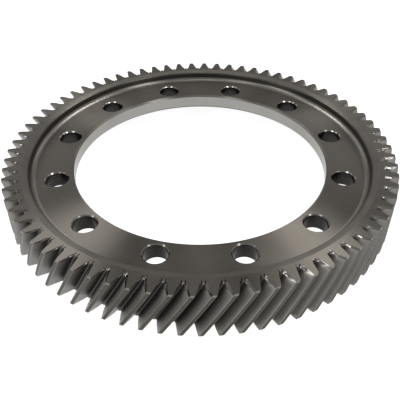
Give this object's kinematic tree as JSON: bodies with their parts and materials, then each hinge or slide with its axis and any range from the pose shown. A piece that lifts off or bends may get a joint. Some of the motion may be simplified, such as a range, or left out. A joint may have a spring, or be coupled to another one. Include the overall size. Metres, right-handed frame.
{
  "type": "helical ring gear",
  "caption": "Flat steel ring gear with helical outer teeth, a thin recessed web with bolt holes, and a wide plain bore.",
  "frame": {"origin": "on the bore's axis, level with the bottom face of the rim", "axes": "+Z along the bore axis, out of the face with the shallow recess; +X midway between two bolt holes"},
  "size_m": [0.22, 0.22, 0.0275],
  "materials": {
    "gear_steel": "fine turned and ground steel with a dark grey-brown phosphate tone"
  },
  "bodies": {
    "root": {"ring_gear": "gear_steel"}
  },
  "joints": []
}
